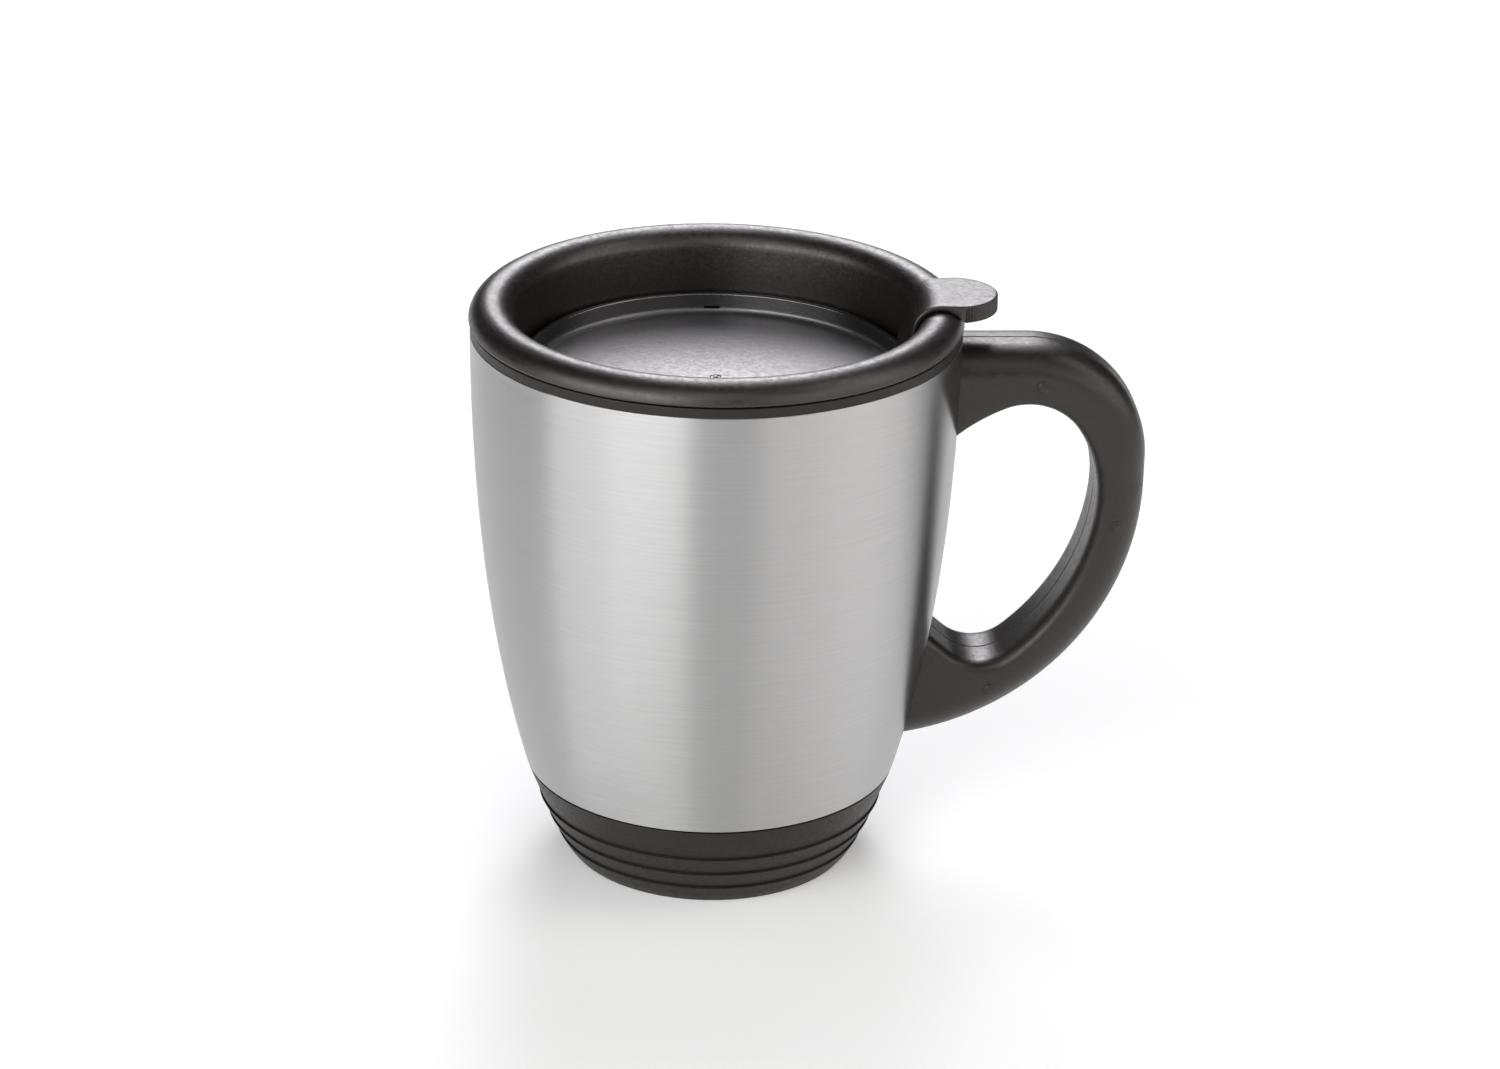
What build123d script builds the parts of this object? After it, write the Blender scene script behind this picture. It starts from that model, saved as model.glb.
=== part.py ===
from build123d import *
import math
import os

# Insulated travel mug, in millimetres.
# The origin is on the mug's axis, in the plane it stands on. +Z is up and the handle points along +X.
# The mug is a steel shell over a plastic liner, with air between them. A two-piece handle is screwed on
# from inside the shell before the liner goes in. The lid lifts off, and a dial turns inside it.

# Steel shell
lip_radius = 47.5
shell_foot = 19.5
shell_height = 90.0
shell_wall = 0.5
foot_taper = 10.5
square_share = 0.77

# Liner
air_gap = 3.2
liner_wall = 1.6
liner_floor_height = 8.5
liner_floor_wall = 1.8
liner_corner = 8.0
collar_height = 2.2
collar_inset = 0.1
collar_reveal = 0.3
collar_lip_width = 2.4
collar_round = 0.25
mouth_inset = 4.3
mouth_depth = 10.2
mouth_wall = 1.8
mouth_shoulder = 1.5
skirt_depth = 5.1
skirt_clearance = 0.1
skirt_ring_top = 2.1

# Base cap
base_taper = 8.5
base_wall = 2.2
base_floor = 3.2
base_curve_share = 0.25
band_heights = [7.15, 4.1, 3.9]
band_ledge = 0.25
base_gap = 0.35
base_edge_width = 0.64
base_edge_height = 0.8
spigot_clearance = 0.2
spigot_wall = 1.7
spigot_height = 2.8
foot_pad_inset = 3.2
foot_pad_thickness = 1.2
foot_pad_clearance = 0.2

# Round sealing rings
liner_ring_radius = 0.9
base_ring_radius = 0.7
ring_clearance = 0.05

# Handle
handle_reach = 36.6
handle_drop = 1.7
handle_width = 17.0
knuckle_radius = 23.6
knuckle_thickness = 11.6
straight_length = 5.2
grip_radius = 55.0
grip_thickness = 9.4
shoulder_radius = 25.0
upper_web_angle = 40.0
lower_web_angle = 41.0
lower_web_drop = 62.5
web_corner_radius = 9.0
outer_round = 5.8
inner_round = 1.2
handle_wall = 2.2
root_depth = 9.0
outline_overrun = 13.0
opening_overrun = 21.0
grip_end_angle = -84.0

# Handle pins
pin_radius = 1.3
pin_clearance = 0.08
pin_inset = 4.4
pin_boss_wall = 1.4
pin_end_depth = 3.4
upper_pin_angle = 82.0
grip_pin_angles = [-9.0, -59.0]

# Handle screws
screw_drops = [74.0, 12.5]
screw_radius = 1.5
screw_length = 8.0
screw_head_radius = 3.4
screw_head_height = 1.6
screw_hole_clearance = 0.3
screw_pilot_clearance = 0.05
screw_cross_width = 0.5
screw_cross_share = 0.6
screw_drill_reach = 4.0
screw_drill_overrun = 0.5
washer_radius = 4.5
washer_thickness = 0.6
washer_gap = 0.25

# Lid
rim_half_width = 4.32
rim_height = 4.05
rim_overhang = 0.27
rim_edge_round = 0.4
well_taper = 1.4
lid_floor_drop = 14.7
lid_floor_wall = 1.8
lid_wall = 2.2
flange_clearance = 0.6
flange_thickness = 1.2
flange_top_drop = 4.7
seal_groove_height = 2.6
seal_groove_depth = 1.6
seal_lip_clearance = 0.1
seal_side_clearance = 0.1

# Dial
dish_clearance = 0.4
dish_wall = 1.1
dish_wall_height = 3.9
dish_floor_wall = 1.6
dish_corner = 2.0
dish_edge_round = 0.3
dish_seal_thickness = 0.88
dish_seal_clearance = 0.12
dish_seal_inset = 0.8
hub_radius = 5.0
hub_clearance = 0.1
hub_end_play = 0.15
lug_reach = 2.2
lug_half_angle = 12.0
lug_clearance = 0.2
lug_start_angle = 160.0
open_angle = 28.0
stop_slack = 1.5
gate_radius = 1.1
gate_depth = 0.15
dial_washer_radius = 9.5
dial_washer_thickness = 1.0
dial_screw_radius = 1.4
dial_screw_bite = 3.5
dial_screw_head_radius = 3.0
dial_screw_head_height = 1.8

# Drinking slots and vent
slot_centres = [-97.0, -83.0]
slot_half_angle = 4.5
slot_inset = 2.7
slot_length = 4.5
vent_angle = 89.0
vent_width = 3.4
vent_height = 1.1
vent_lift = 0.9
vent_groove_depth = 1.1
vent_corner = 0.5

# Thumb tab
tab_radius = 8.7
tab_inset = 2.6
tab_thickness = 2.9
tab_lift = 1.25
tab_clearance = 0.4
arm_thickness = 1.4
arm_root_half_width = 10.8
arm_neck_inset = 6.5
arm_neck_half_width = 10.0
arm_end_inset = 1.0
rib_pitch_angle = 4.0
rib_depth = 0.22
tab_edge_chamfer = 0.35

# Cutting tools that run right through the mug
tool_length = 200.0

# Heights that follow from the sizes above
shell_top = shell_foot + shell_height
lid_seat = shell_top + collar_height
lower_web_height = shell_top - lower_web_drop
screw_heights = [shell_top - drop for drop in screw_drops]
lid_floor_top = lid_seat - lid_floor_drop
lid_floor_bottom = lid_floor_top - lid_floor_wall
dish_bottom = lid_floor_top + dish_seal_clearance + dish_seal_thickness
dish_floor_top = dish_bottom + dish_floor_wall
dish_wall_top = dish_floor_top + dish_wall_height
tab_top = lid_seat + rim_height + tab_lift

# Radii that follow from the sizes above
base_bottom_radius = lip_radius - foot_taper - base_taper
foot_pad_radius = base_bottom_radius - foot_pad_inset
mouth_radius = lip_radius - mouth_inset
rim_centre = lip_radius + rim_overhang - rim_half_width
well_top_radius = rim_centre - rim_half_width
well_bottom_radius = well_top_radius - well_taper
dish_outer_radius = well_bottom_radius - dish_clearance
dish_inner_radius = dish_outer_radius - dish_wall
slot_outer_radius = dish_inner_radius - slot_inset
slot_inner_radius = slot_outer_radius - slot_length
tab_centre = lip_radius - tab_inset
arm_neck_radius = lip_radius - arm_neck_inset
arm_end_radius = lip_radius - arm_end_inset
flange_radius = mouth_radius - flange_clearance
hub_hole_radius = hub_radius + hub_clearance
lug_radius = hub_radius + lug_reach


def body_radius(height):
    """Outside radius of the steel: upright at the lip, curving in towards the foot."""
    drop = (shell_top - min(height, shell_top)) / shell_height
    return lip_radius - foot_taper * (square_share * drop**2 + (1 - square_share) * drop**4)


def liner_radius(height):
    """Outside radius of the liner's wall, an air gap inside the steel."""
    return body_radius(height) - shell_wall - air_gap


def wall_curve(radius_at, low, high, inset=0.0, points=7):
    """A smooth curve up a wall whose radius at each height is given by a function."""
    heights = [low + (high - low) * i / (points - 1) for i in range(points)]
    return Spline([(radius_at(height) - inset, height) for height in heights])


def nearest_corner(face, radius, height):
    return face.vertices().sort_by_distance((radius, height))[0]


def joined(*pieces):
    """A flat face bounded by the pieces, laid end to end."""
    edges = []
    for piece in pieces:
        edges.extend(piece.edges())
    return make_face(edges)


def turned(face):
    """The solid that a face in radius and height sweeps about the mug's axis."""
    return revolve(Plane.XZ * face, Axis.Z)


def turned_points(*points):
    return turned(make_face(Polyline(*points, close=True)))


def ring(centre_radius, height, section_radius):
    """A round sealing ring."""
    return turned(Pos(centre_radius, height) * Circle(section_radius))


def sector(inner, outer, start, end):
    """A flat piece of a ring between two angles, in degrees."""
    def at(radius, angle):
        return (radius * math.cos(math.radians(angle)), radius * math.sin(math.radians(angle)))

    return joined(
        Line(at(inner, start), at(outer, start)),
        CenterArc((0, 0), outer, start, end - start),
        Line(at(outer, end), at(inner, end)),
        CenterArc((0, 0), inner, start, end - start),
    )


def slots(turn, low, high):
    """The drinking slots as cutters, turned about the axis by an angle."""
    cutter = Part()
    for centre in slot_centres:
        start = centre - slot_half_angle + turn
        end = centre + slot_half_angle + turn
        face = sector(slot_inner_radius, slot_outer_radius, start, end)
        cutter += Pos(0, 0, low) * extrude(face, high - low)
    return cutter


def screw_plane(height):
    """The plane of the steel's outside at a handle screw, facing out."""
    step = 0.5
    slope = (body_radius(height + step) - body_radius(height - step)) / (2 * step)
    return Plane(origin=(body_radius(height), 0, height), x_dir=(0, 1, 0), z_dir=(1, 0, -slope))


def post(plane, radius, low, high):
    """A round post on a plane, from one height above it to another."""
    return plane * (Pos(0, 0, (low + high) / 2) * Cylinder(radius, high - low))


def screw_hole(height):
    """A clearance hole for a handle screw, right through the steel and the washer."""
    radius = screw_radius + screw_hole_clearance
    return post(screw_plane(height), radius, -screw_drill_reach, screw_drill_reach)


def make_steel_shell():
    outer = wall_curve(body_radius, shell_foot, shell_top)
    inner = wall_curve(body_radius, shell_foot, shell_top, shell_wall)
    shell = turned(joined(outer, inner, Line(outer @ 0, inner @ 0), Line(outer @ 1, inner @ 1)))
    for height in screw_heights:
        shell -= screw_hole(height)
    return shell


def make_inner_liner():
    collar = lip_radius - collar_inset
    skirt = lip_radius - shell_wall - skirt_clearance
    mouth_outer = mouth_radius + mouth_wall
    mouth_end = lid_seat - mouth_depth
    wall_top = mouth_end - mouth_shoulder
    skirt_end = shell_top - skirt_depth
    groove_top = shell_top - skirt_ring_top
    groove_bottom = groove_top - 2 * (liner_ring_radius + ring_clearance)
    groove_floor = lip_radius - shell_wall - 2 * liner_ring_radius - 2 * ring_clearance
    inside = liner_floor_height + liner_floor_wall
    outer = wall_curve(liner_radius, liner_floor_height, wall_top)
    inner = wall_curve(liner_radius, inside, wall_top, liner_wall)
    top = Polyline(
        outer @ 1,
        (mouth_outer, mouth_end),
        (mouth_outer, skirt_end),
        (skirt, skirt_end),
        (skirt, groove_bottom),
        (groove_floor, groove_bottom),
        (groove_floor, groove_top),
        (skirt, groove_top),
        (skirt, shell_top),
        (collar, shell_top),
        (collar, lid_seat - collar_reveal),
        (mouth_radius + collar_lip_width, lid_seat - collar_reveal),
        (mouth_radius + collar_lip_width, lid_seat),
        (mouth_radius, lid_seat),
        (mouth_radius, mouth_end),
        inner @ 1,
    )
    floor = Polyline(inner @ 0, (0, inside), (0, liner_floor_height), outer @ 0)
    face = joined(outer, inner, top, floor)
    outer_corner = nearest_corner(face, liner_radius(liner_floor_height), liner_floor_height)
    face = fillet(outer_corner, liner_corner)
    inner_corner = nearest_corner(face, liner_radius(inside) - liner_wall, inside)
    face = fillet(inner_corner, liner_corner - liner_wall)
    face = fillet(nearest_corner(face, collar, lid_seat - collar_reveal), collar_round)
    return turned(face)


def make_liner_seal():
    centre = lip_radius - shell_wall - ring_clearance - liner_ring_radius
    height = shell_top - skirt_ring_top - ring_clearance - liner_ring_radius
    return ring(centre, height, liner_ring_radius)


def base_radius(height):
    """Outside of the base cap before its ledges are added."""
    depth = (shell_foot - height) / shell_foot
    fall = (1 - base_curve_share) * depth + base_curve_share * depth**2
    return body_radius(shell_foot) - (body_radius(shell_foot) - base_bottom_radius) * fall


def spigot_radius():
    return body_radius(shell_foot) - shell_wall - spigot_clearance


def base_ring_height():
    return shell_foot + spigot_height / 2


def base_ring_centre():
    return body_radius(base_ring_height()) - shell_wall - 3 * ring_clearance - base_ring_radius


def make_base_cap():
    shoulder = shell_foot - base_gap
    spigot_top = shell_foot + spigot_height
    spigot = spigot_radius()
    groove_floor = base_ring_centre() - base_ring_radius - ring_clearance
    groove_half = base_ring_radius + ring_clearance
    groove_height = base_ring_height()

    # each band leans in more than the cap does, so the next one starts on a small ledge
    outside = [(base_radius(shoulder), shoulder)]
    height = shoulder
    for band in band_heights:
        height -= band
        outside.append((base_radius(height) - band_ledge, height))
        outside.append((base_radius(height) + band_ledge, height))
    recess = foot_pad_radius + foot_pad_clearance
    inside_floor = base_radius(base_floor) - base_wall - base_floor / 2
    solid = turned_points(
        *outside,
        (base_bottom_radius + base_edge_width / 2, base_edge_height),
        (base_bottom_radius - base_edge_width / 2, 0),
        (recess, 0),
        (recess, foot_pad_thickness),
        (0, foot_pad_thickness),
        (0, base_floor),
        (inside_floor, base_floor),
        (base_radius(shoulder) - base_wall - spigot_wall / 2, shoulder - spigot_wall),
        (spigot - spigot_wall, shoulder),
        (spigot - spigot_wall, spigot_top),
        (spigot, spigot_top),
        (spigot, groove_height + groove_half),
        (groove_floor, groove_height + groove_half),
        (groove_floor, groove_height - groove_half),
        (spigot, groove_height - groove_half),
        (spigot, shoulder),
    )
    return solid


def make_base_seal():
    return ring(base_ring_centre(), base_ring_height(), base_ring_radius)


def make_foot_pad():
    return Pos(0, 0, foot_pad_thickness / 2) * Cylinder(foot_pad_radius, foot_pad_thickness)


def handle_centres():
    """Centres of the handle's knuckle arc and grip arc, in radius and height."""
    reach = lip_radius + handle_reach
    knuckle = Vector(reach - knuckle_radius, shell_top - handle_drop - knuckle_radius)
    grip = Vector(reach - grip_radius, knuckle.Y - straight_length)
    return knuckle, grip


def handle_outer_face():
    """The handle's outline with its finger opening filled, running on into the steel."""
    knuckle, grip = handle_centres()
    reach = lip_radius + handle_reach
    top = shell_top - handle_drop
    inside = lip_radius - outline_overrun
    back = CenterArc((grip.X, grip.Y), grip_radius, 0, grip_end_angle)
    return joined(
        Line((inside, top), (knuckle.X, top)),
        CenterArc((knuckle.X, knuckle.Y), knuckle_radius, 90, -90),
        Line((reach, knuckle.Y), (reach, grip.Y)),
        back,
        Line(back @ 1, (inside, top)),
    )


def finger_opening_face():
    """The finger opening: two webs running down to the steel, and three arcs tangent to each other."""
    knuckle, grip = handle_centres()
    inner_knuckle = knuckle_radius - knuckle_thickness
    inner_grip = grip_radius - grip_thickness

    # the shoulder arc touches both inner arcs from inside, so its centre is a known distance from each
    span = (knuckle - grip).length
    along_line = (knuckle - grip).normalized()
    to_knuckle = shoulder_radius - inner_knuckle
    to_grip = inner_grip - shoulder_radius
    along = (to_grip**2 - to_knuckle**2 + span**2) / (2 * span)
    across = math.sqrt(to_grip**2 - along**2)
    shoulder = grip + along_line * along + Vector(along_line.Y, -along_line.X) * across
    first = math.degrees(math.atan2(knuckle.Y - shoulder.Y, knuckle.X - shoulder.X))
    second = math.degrees(math.atan2(shoulder.Y - grip.Y, shoulder.X - grip.X))

    start = 90 + upper_web_angle
    upper = CenterArc((knuckle.X, knuckle.Y), inner_knuckle, start, first - start)
    middle = CenterArc((shoulder.X, shoulder.Y), shoulder_radius, first, second - first)
    lower = CenterArc((grip.X, grip.Y), inner_grip, second, grip_end_angle - second)
    inside = lip_radius - opening_overrun
    web_start = upper @ 0
    web_drop = (web_start.X - inside) * math.tan(math.radians(upper_web_angle))
    web_end = (inside, web_start.Y - web_drop)
    face = joined(
        Line(web_end, web_start), upper, middle, lower, Line(lower @ 1, (inside, (lower @ 1).Y)),
        Line((inside, (lower @ 1).Y), web_end),
    )

    # the lower web rises towards the steel and meets the grip arc in a rounded corner
    root = (body_radius(lower_web_height), lower_web_height)
    square = Pos(0, -tool_length / 2) * Rectangle(tool_length, tool_length)
    face = face - Pos(*root) * Rot(0, 0, -lower_web_angle) * square
    corner = face.vertices().sort_by(Axis.Y)[0]
    return fillet(corner, web_corner_radius)


def make_handle_blank():
    """The whole handle as one solid, its edges rounded and its roots cut to the steel."""
    opening = finger_opening_face()
    blank = extrude(Plane.XZ * (handle_outer_face() - opening), handle_width / 2, both=True)
    rim = (Plane.XZ * opening).faces()[0].outer_wire()
    sides = [edge for edge in blank.edges() if abs(abs((edge @ 0.5).Y) - handle_width / 2) < 0.01]
    sides = [edge for edge in sides if (edge @ 0.5).X > body_radius((edge @ 0.5).Z) - 1]
    inner = []
    outer = []
    for edge in sides:
        middle = edge @ 0.5
        gap = rim.distance_to(Vector(middle.X, 0, middle.Z))
        (inner if gap < 0.01 else outer).append(edge)
    blank = fillet(outer, outer_round)
    inner = [blank.edges().sort_by_distance(edge @ 0.5)[0] for edge in inner]
    blank = fillet(inner, inner_round)
    return blank - mug_envelope()


def mug_envelope():
    """Everything inside the steel's outside surface, and inside a gap round the base cap."""
    outer = wall_curve(body_radius, shell_foot, shell_top)
    base = wall_curve(base_radius, 0, shell_foot, -band_ledge - base_gap)
    top = shell_top + handle_width
    foot = Line(outer @ 0, base @ 1)
    middle = Polyline(base @ 0, (0, 0), (0, top), (lip_radius, top), outer @ 1)
    return turned(joined(outer, foot, base, middle))


def handle_pin_places():
    knuckle, grip = handle_centres()
    upper = knuckle_radius - knuckle_thickness + pin_inset
    lower = grip_radius - grip_thickness + pin_inset
    angle = math.radians(upper_pin_angle)
    places = [(knuckle.X + upper * math.cos(angle), knuckle.Y + upper * math.sin(angle))]
    for grip_angle in grip_pin_angles:
        angle = math.radians(grip_angle)
        places.append((grip.X + lower * math.cos(angle), grip.Y + lower * math.sin(angle)))
    return places


def pin_posts(radius, low, high):
    """Round posts across the handle at each pin, between two sideways places."""
    posts = []
    for place in handle_pin_places():
        plane = Plane(origin=(place[0], 0, place[1]), x_dir=(1, 0, 0), z_dir=(0, 1, 0))
        posts.append(post(plane, radius, low, high))
    return posts


def handle_hollow():
    """The hollow inside the handle, which stops short of the roots and runs round the pin bosses."""
    face = offset(handle_outer_face() - finger_opening_face(), -handle_wall, kind=Kind.INTERSECTION)
    grip = handle_centres()[1]
    middle = grip.Y
    upper_end = body_radius(shell_top - handle_drop) + root_depth
    lower_end = body_radius(lower_web_height) + root_depth
    half = tool_length / 2
    face -= Pos(upper_end - half, middle + half) * Rectangle(tool_length, tool_length)
    face -= Pos(lower_end - half, middle - half) * Rectangle(tool_length, tool_length)
    hollow = extrude(Plane.XZ * face, handle_width / 2 - handle_wall, both=True)
    long_edges = [e for e in hollow.edges() if abs(abs((e @ 0.5).Y) - handle_width / 2 + handle_wall) < 0.01]
    outer = [e for e in long_edges if is_outer_edge(e @ 0.5)]
    hollow = fillet(outer, outer_round - handle_wall)
    for boss in pin_posts(pin_radius + pin_boss_wall, -handle_width, handle_width):
        hollow -= boss
    return hollow


def is_outer_edge(point):
    """Whether a point of the hollow lies along the handle's outer side."""
    knuckle, grip = handle_centres()
    if point.Z > knuckle.Y and point.X < knuckle.X:
        return abs(point.Z - (shell_top - handle_drop - handle_wall)) < 0.05
    if point.Z > knuckle.Y:
        distance = math.hypot(point.X - knuckle.X, point.Z - knuckle.Y)
        return abs(distance - knuckle_radius + handle_wall) < 0.05
    if point.Z > grip.Y:
        return abs(point.X - lip_radius - handle_reach + handle_wall) < 0.05
    distance = math.hypot(point.X - grip.X, point.Z - grip.Y)
    return abs(distance - grip_radius + handle_wall) < 0.05


def make_handle_halves():
    """The handle split down its middle. The front half's pin bores run right through."""
    blank = make_handle_blank()
    body = blank - handle_hollow()
    for height in screw_heights:
        low, high = -screw_drill_overrun, screw_length + screw_drill_overrun
        body -= post(screw_plane(height), screw_radius + screw_pilot_clearance, low, high)
    bore = pin_radius + pin_clearance
    far_end = handle_width / 2 - pin_end_depth + pin_clearance
    for cutter in pin_posts(bore, -handle_width, far_end):
        body -= cutter
    block = Box(2 * tool_length, 2 * tool_length, 2 * tool_length)
    front = body & (Pos(0, -tool_length, 0) * block)
    back = body & (Pos(0, tool_length, 0) * block)
    pins = Part()
    for pin in pin_posts(pin_radius, -handle_width, handle_width / 2 - pin_end_depth):
        pins += pin & blank
    return front, back, pins


def screw_cross(head_radius, head_height, seat):
    """The cross recess in a screw head whose underside is at a given height."""
    reach = 2 * screw_cross_share * head_radius
    cross = Box(reach, screw_cross_width, head_height)
    cross += Box(screw_cross_width, reach, head_height)
    return Pos(0, 0, seat - head_height) * cross


def make_handle_screws():
    screws = Part()
    for height in screw_heights:
        plane = screw_plane(height)
        seat = -shell_wall - washer_gap - washer_thickness
        screw = post(plane, screw_radius, seat, screw_length)
        screw += post(plane, screw_head_radius, seat - screw_head_height, seat)
        screws += screw - plane * screw_cross(screw_head_radius, screw_head_height, seat)
    return screws


def make_handle_washers():
    washers = Part()
    for height in screw_heights:
        plane = screw_plane(height)
        top = -shell_wall - washer_gap
        washer = post(plane, washer_radius, top - washer_thickness, top)
        washers += washer - screw_hole(height)
    return washers


def well_radius(height):
    """Radius of the lid's well, which tapers in towards its floor."""
    return well_bottom_radius + well_taper * (height - lid_floor_top) / lid_floor_drop


def seal_groove():
    """Bottom height, top height and floor radius of the groove round the lid."""
    top = lid_seat - flange_top_drop - flange_thickness
    return top - seal_groove_height, top, flange_radius - seal_groove_depth


def make_lid_body():
    groove_bottom, groove_top, groove_floor = seal_groove()
    flange_top = groove_top + flange_thickness
    flange_bottom = groove_bottom - flange_thickness
    rim_outer = rim_centre + rim_half_width
    rim = EllipticalCenterArc((rim_centre, lid_seat), rim_half_width, rim_height, 0, arc_size=180)
    rest = Polyline(
        rim @ 1,
        (well_bottom_radius, lid_floor_top),
        (hub_hole_radius, lid_floor_top),
        (hub_hole_radius, lid_floor_bottom),
        (well_bottom_radius + lid_wall, lid_floor_bottom),
        (well_radius(flange_bottom) + lid_wall, flange_bottom),
        (flange_radius, flange_bottom),
        (flange_radius, groove_bottom),
        (groove_floor, groove_bottom),
        (groove_floor, groove_top),
        (flange_radius, groove_top),
        (flange_radius, flange_top),
        (well_radius(flange_top) + lid_wall, flange_top),
        (well_top_radius + lid_wall, lid_seat),
        (rim_outer, lid_seat),
    )
    section = joined(rim, rest)
    lid = turned(fillet(nearest_corner(section, rim_outer, lid_seat), rim_edge_round))
    lid -= slots(0, lid_floor_bottom - 1, lid_floor_top + 1)

    # the stop: a lug on the dial's hub travels in this notch
    start = lug_start_angle - lug_half_angle - stop_slack
    end = lug_start_angle + lug_half_angle + open_angle + stop_slack
    notch = sector(hub_radius - 1, lug_radius + lug_clearance, start, end)
    lid -= Pos(0, 0, lid_floor_bottom - 1) * extrude(notch, lid_floor_wall + 2)

    # the vent: a groove up the well's wall, met by the dish's window when the dial is open
    groove_end = dish_floor_top + vent_lift + 2 * vent_height
    groove = Box(2 * vent_groove_depth, vent_width, groove_end - lid_floor_bottom + 1)
    middle = (groove_end + lid_floor_bottom - 1) / 2
    lid -= Rot(0, 0, vent_angle + open_angle) * Pos(well_bottom_radius, 0, middle) * groove
    return lid


def make_lid_seal():
    groove_bottom, groove_top, groove_floor = seal_groove()
    low = groove_bottom + seal_side_clearance
    high = groove_top - seal_side_clearance
    lip = mouth_radius - seal_lip_clearance
    root = flange_radius - seal_side_clearance
    quarter = (high - low) / 4
    return turned_points(
        (groove_floor, low),
        (root, low),
        (lip, low + quarter),
        (root, low + 2 * quarter),
        (lip, high - quarter),
        (root, high),
        (groove_floor, high),
    )


def arm_section():
    """The arm's section: up from the dish's wall, over the rim, and out as a flat tab."""
    inner_rise = tab_top - lid_seat
    inner_reach = rim_half_width + tab_clearance + arm_thickness
    gap_reach = rim_half_width + tab_clearance
    gap_rise = rim_height + tab_clearance
    inner_curve = EllipticalCenterArc((rim_centre, lid_seat), inner_reach, inner_rise, 90, arc_size=90)
    tab_bottom = tab_top - tab_thickness
    lift = (tab_bottom - lid_seat) / gap_rise
    gap_start = math.degrees(math.asin(lift))
    gap_size = 180 - gap_start
    gap_curve = EllipticalCenterArc((rim_centre, lid_seat), gap_reach, gap_rise, gap_start, arc_size=gap_size)
    over_rim = min(gap_curve @ 0, gap_curve @ 1, key=lambda point: -point.X)
    end = tab_centre + tab_radius + 1
    outer = Polyline(higher_end(inner_curve), (end, tab_top), (end, tab_bottom), over_rim)
    foot_height = dish_floor_top + dish_corner
    foot = Polyline(
        lower_end(gap_curve),
        (well_radius(dish_wall_top) - tab_clearance, dish_wall_top),
        (dish_outer_radius, dish_wall_top - tab_clearance),
        (dish_outer_radius, foot_height),
        (dish_inner_radius, foot_height),
        (dish_inner_radius, dish_wall_top),
        lower_end(inner_curve),
    )
    return joined(inner_curve, outer, gap_curve, foot)


def lower_end(curve):
    return min(curve @ 0, curve @ 1, key=lambda point: point.Y)


def higher_end(curve):
    return max(curve @ 0, curve @ 1, key=lambda point: point.Y)


def tab_plan():
    """The arm and the ribbed tab seen from above."""
    end_half_width = math.sqrt(tab_radius**2 - (arm_end_radius - tab_centre)**2)
    corner = math.degrees(math.atan2(end_half_width, arm_end_radius - tab_centre))
    count = round(2 * corner / rib_pitch_angle)
    points = []
    for i in range(2 * count + 1):
        angle = math.radians(-corner + 2 * corner * i / (2 * count))
        radius = tab_radius if i % 2 else tab_radius - rib_depth
        points.append((tab_centre + radius * math.cos(angle), radius * math.sin(angle)))
    root = dish_inner_radius - 1
    return make_face(Polyline(
        *points,
        (arm_end_radius, end_half_width),
        (arm_neck_radius, arm_neck_half_width),
        (root, arm_root_half_width),
        (root, -arm_root_half_width),
        (arm_neck_radius, -arm_neck_half_width),
        (arm_end_radius, -end_half_width),
        close=True,
    ))


def make_drink_dial():
    # the dish, with its hub below
    hub_end = lid_floor_bottom - hub_end_play
    dish_face = make_face(Polyline(
        (0, dish_floor_top),
        (dish_inner_radius, dish_floor_top),
        (dish_inner_radius, dish_wall_top),
        (dish_outer_radius, dish_wall_top),
        (dish_outer_radius, dish_bottom),
        (hub_radius, dish_bottom),
        (hub_radius, hub_end),
        (0, hub_end),
        close=True,
    ))
    dish_face = fillet(nearest_corner(dish_face, dish_inner_radius, dish_floor_top), dish_corner)
    for radius in (dish_inner_radius, dish_outer_radius):
        dish_face = fillet(nearest_corner(dish_face, radius, dish_wall_top), dish_edge_round)
    dial = turned(dish_face)

    # the arm and the thumb tab, the disc's edge broken above and below
    plan = Pos(0, 0, dish_bottom) * extrude(tab_plan(), tab_top + 5 - dish_bottom)
    arm = turned(arm_section()) & plan
    edge_break = Cylinder(tab_radius, tab_thickness)
    edge_break = chamfer(edge_break.edges(), tab_edge_chamfer)
    edge_break = Pos(tab_centre, 0, tab_top - tab_thickness / 2) * edge_break
    block = Box(tool_length, tool_length, tool_length)
    beyond = Pos(arm_end_radius + tool_length / 2, 0, tab_top) * block
    arm -= beyond - edge_break
    dial += arm

    # the stop lug beside the hub
    lug_end_angle = lug_start_angle + lug_half_angle
    lug = sector(hub_radius - 1, lug_radius, lug_start_angle - lug_half_angle, lug_end_angle)
    lug_bottom = lid_floor_bottom + lug_clearance
    dial += Pos(0, 0, lug_bottom) * extrude(lug, dish_bottom - lug_bottom + 0.5)

    # slots, vent window, screw bore and the moulding gate's dimple
    dial -= slots(-open_angle, dish_bottom - 1, dish_floor_top + 1)
    vent = Box(4 * dish_wall, vent_width, vent_height)
    vent = fillet(vent.edges().filter_by(Axis.X), vent_corner)
    vent_middle = dish_floor_top + vent_lift + vent_height / 2
    dial -= Rot(0, 0, vent_angle) * Pos(dish_outer_radius, 0, vent_middle) * vent
    bore_end = hub_end + dial_screw_bite + 0.3
    dial -= post(Plane.XY, dial_screw_radius + screw_pilot_clearance, hub_end - 1, bore_end)
    dial -= post(Plane.XY, gate_radius, dish_floor_top - gate_depth, dish_floor_top + 1)
    return dial


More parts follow.
